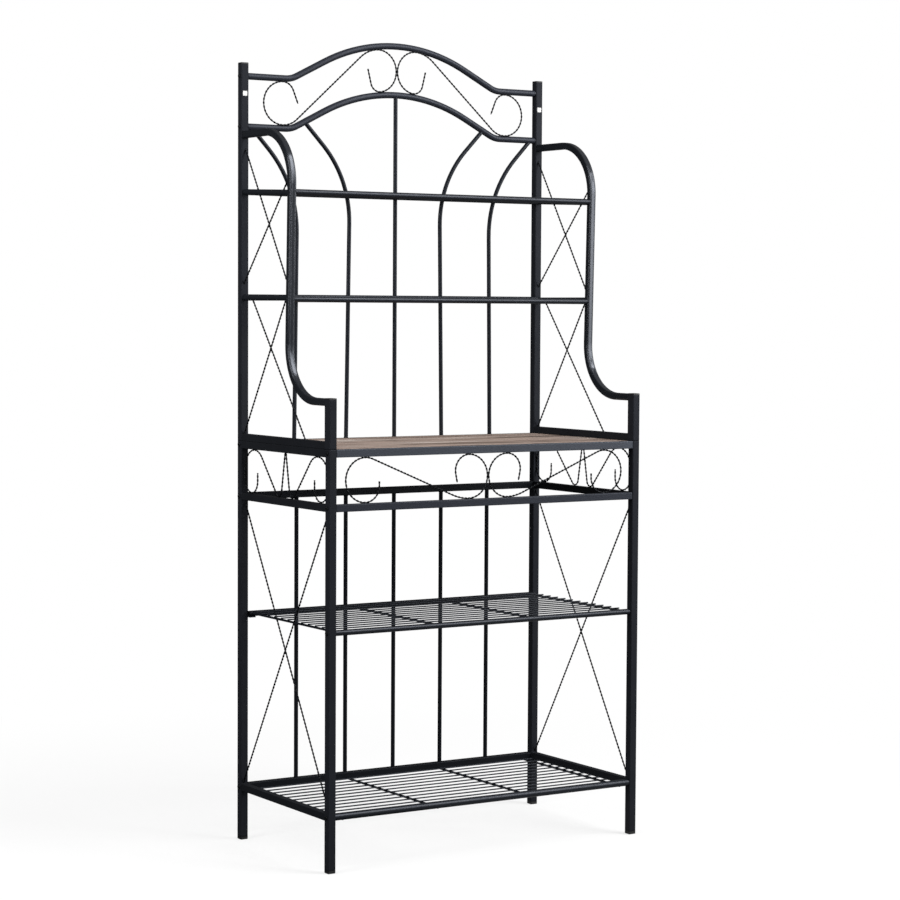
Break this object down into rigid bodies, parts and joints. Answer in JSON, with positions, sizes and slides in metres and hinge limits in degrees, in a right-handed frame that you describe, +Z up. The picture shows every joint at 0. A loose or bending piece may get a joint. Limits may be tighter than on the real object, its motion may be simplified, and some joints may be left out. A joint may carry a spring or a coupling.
{
  "type": "bakers rack",
  "caption": "Free-standing kitchen rack of bent steel tube with a wooden worktop, wire shelves, bowed upper sides and an arched crown with wire scrolls.",
  "frame": {"origin": "on the floor, in the middle of the four feet", "axes": "+X to the right as seen from the front, +Y to the back, +Z up"},
  "size_m": [0.7662, 0.396, 1.7055],
  "materials": {
    "frame_coat": "satin powder coat",
    "wire_coat": "satin powder coat on twisted wire",
    "worktop_wood": "matte rustic veneer",
    "cap_plastic": "fine texture",
    "bolt_steel": "black oxide",
    "insert_steel": "plain zinc",
    "sticker_paper": "blank label film"
  },
  "bodies": {
    "root": {"apron_front_rail": "frame_coat", "apron_rear_rail": "frame_coat", "assembly_stickers": "sticker_paper", "back_center_bar": "frame_coat", "bottom_rear_rail": "frame_coat", "bottom_shelf_front_bar": "frame_coat", "bottom_shelf_rods": "frame_coat", "bottom_shelf_wires": "frame_coat", "crown_arch_low": "frame_coat", "crown_arch_top": "frame_coat", "crown_scrolls": "wire_coat", "fan_bars_inner": "frame_coat", "fan_bars_outer": "frame_coat", "foot_caps": "cap_plastic", "frame_bolts": "bolt_steel", "front_scrolls": "wire_coat", "left_apron_side_rail": "frame_coat", "left_bottom_side_rail": "frame_coat", "left_bow_tube": "frame_coat", "left_front_leg": "frame_coat", "left_front_stub": "frame_coat", "left_lower_cross_wires": "wire_coat", "left_mid_cross_wires": "wire_coat", "left_rear_leg": "frame_coat", "left_rear_post": "frame_coat", "left_side_scrolls": "wire_coat", "left_sill_rail": "frame_coat", "left_top_cross_wires": "wire_coat", "left_worktop_side_rail": "frame_coat", "lower_back_bars": "frame_coat", "mid_shelf_front_bar": "frame_coat", "mid_shelf_rear_bar": "frame_coat", "mid_shelf_rods": "frame_coat", "mid_shelf_wires": "frame_coat", "right_apron_side_rail": "frame_coat", "right_bottom_side_rail": "frame_coat", "right_bow_tube": "frame_coat", "right_front_leg": "frame_coat", "right_front_stub": "frame_coat", "right_lower_cross_wires": "wire_coat", "right_mid_cross_wires": "wire_coat", "right_rear_leg": "frame_coat", "right_rear_post": "frame_coat", "right_side_scrolls": "wire_coat", "right_sill_rail": "frame_coat", "right_top_cross_wires": "wire_coat", "right_worktop_side_rail": "frame_coat", "second_shelf_cross_bars": "frame_coat", "second_shelf_side_bars": "frame_coat", "second_shelf_wires": "frame_coat", "support_tabs": "frame_coat", "top_shelf_cross_bars": "frame_coat", "top_shelf_side_bars": "frame_coat", "top_shelf_wires": "frame_coat", "tube_caps": "cap_plastic", "tube_inserts": "insert_steel", "worktop_board": "worktop_wood", "worktop_front_rail": "frame_coat", "worktop_rear_rail": "frame_coat"}
  },
  "joints": []
}
